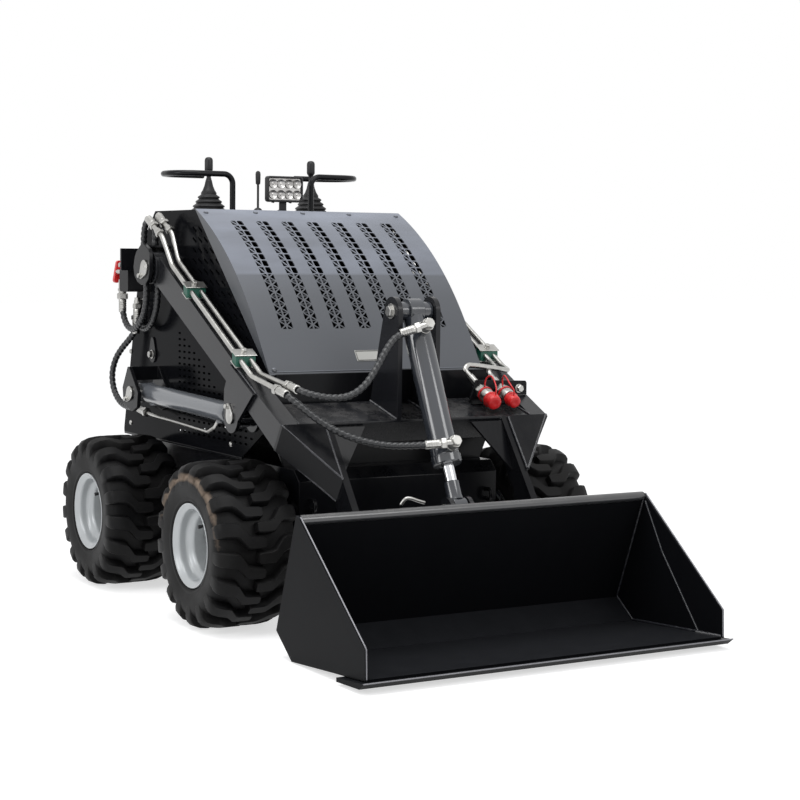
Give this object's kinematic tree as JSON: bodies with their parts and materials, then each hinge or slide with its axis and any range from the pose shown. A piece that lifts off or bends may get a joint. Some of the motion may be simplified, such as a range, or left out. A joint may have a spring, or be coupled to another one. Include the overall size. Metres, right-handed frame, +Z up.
{
  "type": "skid steer loader",
  "caption": "Compact stand-on wheeled skid steer loader with lift arms, tilt cylinder and a wide bucket for digging and moving loose material.",
  "frame": {"origin": "on the ground under the middle of the machine's length and width", "axes": "+Z up, the bucket faces -Y, +X is the machine's left side"},
  "size_m": [1.2, 2.289, 1.318],
  "materials": {
    "body_paint": "gloss black powder coat",
    "hood_paint": "gloss charcoal powder coat",
    "arm_paint": "satin black powder coat",
    "bucket_paint": "satin black powder coat",
    "cylinder_paint": "gloss dark grey enamel",
    "tyre_rubber": "new rubber",
    "rim_paint": "silver paint",
    "zinc_steel": "bright zinc plate",
    "chrome_rod": "hard chrome",
    "dark_iron": "black paint on cast iron",
    "black_rubber": "moulded rubber",
    "hydraulic_hose": "black hose in spiral wrap",
    "black_plastic": "fine grain"
  },
  "bodies": {
    "chassis": {"frame_tub": "body_paint", "side_panel_right": "body_paint", "side_panel_left": "body_paint", "console_deck": "body_paint", "rear_panel": "body_paint", "engine_block": "dark_iron", "pivot_towers": "body_paint", "lift_brackets": "body_paint", "chassis_pins": "zinc_steel", "drive_motors": "dark_iron", "joysticks": "black_rubber", "stick_guards": "body_paint", "throttle_lever": "black_plastic", "work_lamp": "black_plastic", "platform": "body_paint", "control_valve": "zinc_steel", "hose_elbows": "zinc_steel", "arm_hose_outer_right": "hydraulic_hose", "arm_hose_outer_left": "hydraulic_hose", "arm_hose_inner_right": "hydraulic_hose", "arm_hose_inner_left": "hydraulic_hose", "lift_hose_right": "hydraulic_hose", "lift_hose_left": "hydraulic_hose"},
    "hood": {"hood": "hood_paint"},
    "wheel_front_right": {"tyre_front_right": "tyre_rubber", "rim_front_right": "rim_paint"},
    "wheel_front_left": {"tyre_front_left": "tyre_rubber", "rim_front_left": "rim_paint"},
    "wheel_rear_right": {"tyre_rear_right": "tyre_rubber", "rim_rear_right": "rim_paint"},
    "wheel_rear_left": {"tyre_rear_left": "tyre_rubber", "rim_rear_left": "rim_paint"},
    "lift_arm": {"arm_right": "arm_paint", "arm_left": "arm_paint", "arm_pins": "zinc_steel", "cross_beam": "arm_paint", "mast": "arm_paint", "legs": "arm_paint", "arm_lines_right": "zinc_steel", "arm_lines_left": "zinc_steel", "coupler_set": "zinc_steel", "tilt_hose_upper": "hydraulic_hose", "tilt_hose_lower": "hydraulic_hose"},
    "lift_cylinder_right": {"lift_barrel_right": "cylinder_paint"},
    "lift_cylinder_left": {"lift_barrel_left": "cylinder_paint"},
    "lift_piston_right": {"lift_rod_right": "chrome_rod"},
    "lift_piston_left": {"lift_rod_left": "chrome_rod"},
    "tilt_cylinder": {"tilt_barrel": "cylinder_paint"},
    "tilt_piston": {"tilt_rod": "chrome_rod"},
    "bucket": {"bucket": "bucket_paint", "attach_plate": "arm_paint", "bucket_pins": "zinc_steel"}
  },
  "joints": [
    {"name": "arm_lift", "type": "hinge", "parent": "chassis", "child": "lift_arm", "pos_m": [0, 0.4045, 0.972], "axis": [-1, 0, 0], "range_deg": [0, 80], "deforming": ["arm_hose_outer_right", "arm_hose_outer_left", "arm_hose_inner_right", "arm_hose_inner_left", "lift_hose_right", "lift_hose_left"]},
    {"name": "bucket_tilt", "type": "hinge", "parent": "lift_arm", "child": "bucket", "pos_m": [0, -0.6155, 0.15], "axis": [-1, 0, 0], "range_deg": [-70, 10], "deforming": ["tilt_hose_upper", "tilt_hose_lower"]},
    {"name": "hood_open", "type": "hinge", "parent": "chassis", "child": "hood", "pos_m": [0, 0.273, 1.14], "axis": [-1, 0, 0], "range_deg": [0, 60]},
    {"name": "wheel_front_right_spin", "type": "hinge", "parent": "chassis", "child": "wheel_front_right", "pos_m": [-0.48, -0.243, 0.2285], "axis": [1, 0, 0], "continuous": true},
    {"name": "wheel_front_left_spin", "type": "hinge", "parent": "chassis", "child": "wheel_front_left", "pos_m": [0.48, -0.243, 0.2285], "axis": [1, 0, 0], "continuous": true},
    {"name": "wheel_rear_right_spin", "type": "hinge", "parent": "chassis", "child": "wheel_rear_right", "pos_m": [-0.48, 0.522, 0.2285], "axis": [1, 0, 0], "continuous": true},
    {"name": "wheel_rear_left_spin", "type": "hinge", "parent": "chassis", "child": "wheel_rear_left", "pos_m": [0.48, 0.522, 0.2285], "axis": [1, 0, 0], "continuous": true},
    {"name": "lift_swing_right", "type": "hinge", "parent": "chassis", "child": "lift_cylinder_right", "pos_m": [-0.397, 0.5215, 0.586], "axis": [-1, 0, 0], "range_deg": [0, 57.05]},
    {"name": "lift_stroke_right", "type": "slide", "parent": "lift_cylinder_right", "child": "lift_piston_right", "axis": [0, -0.9996, -0.0276], "range_m": [0, 0.3858]},
    {"name": "lift_swing_left", "type": "hinge", "parent": "chassis", "child": "lift_cylinder_left", "pos_m": [0.397, 0.5215, 0.586], "axis": [-1, 0, 0], "range_deg": [0, 57.05]},
    {"name": "lift_stroke_left", "type": "slide", "parent": "lift_cylinder_left", "child": "lift_piston_left", "axis": [0, -0.9996, -0.0276], "range_m": [0, 0.3858]},
    {"name": "tilt_swing", "type": "hinge", "parent": "lift_arm", "child": "tilt_cylinder", "pos_m": [0, -0.4155, 0.864], "axis": [-1, 0, 0], "range_deg": [-0.99, 5.12]},
    {"name": "tilt_stroke", "type": "slide", "parent": "tilt_cylinder", "child": "tilt_piston", "axis": [0, -0.4282, -0.9037], "range_m": [-0.0331, 0.2258]}
  ],
  "couplings": [
    {"joint": "lift_swing_right", "follows": "arm_lift", "ratio": 0.7069},
    {"joint": "lift_stroke_right", "follows": "arm_lift", "m_per_rad": 0.27487},
    {"joint": "lift_swing_left", "follows": "arm_lift", "ratio": 0.7069},
    {"joint": "lift_stroke_left", "follows": "arm_lift", "m_per_rad": 0.27487},
    {"joint": "tilt_swing", "follows": "bucket_tilt", "ratio": -0.06881},
    {"joint": "tilt_stroke", "follows": "bucket_tilt", "m_per_rad": -0.18397}
  ]
}
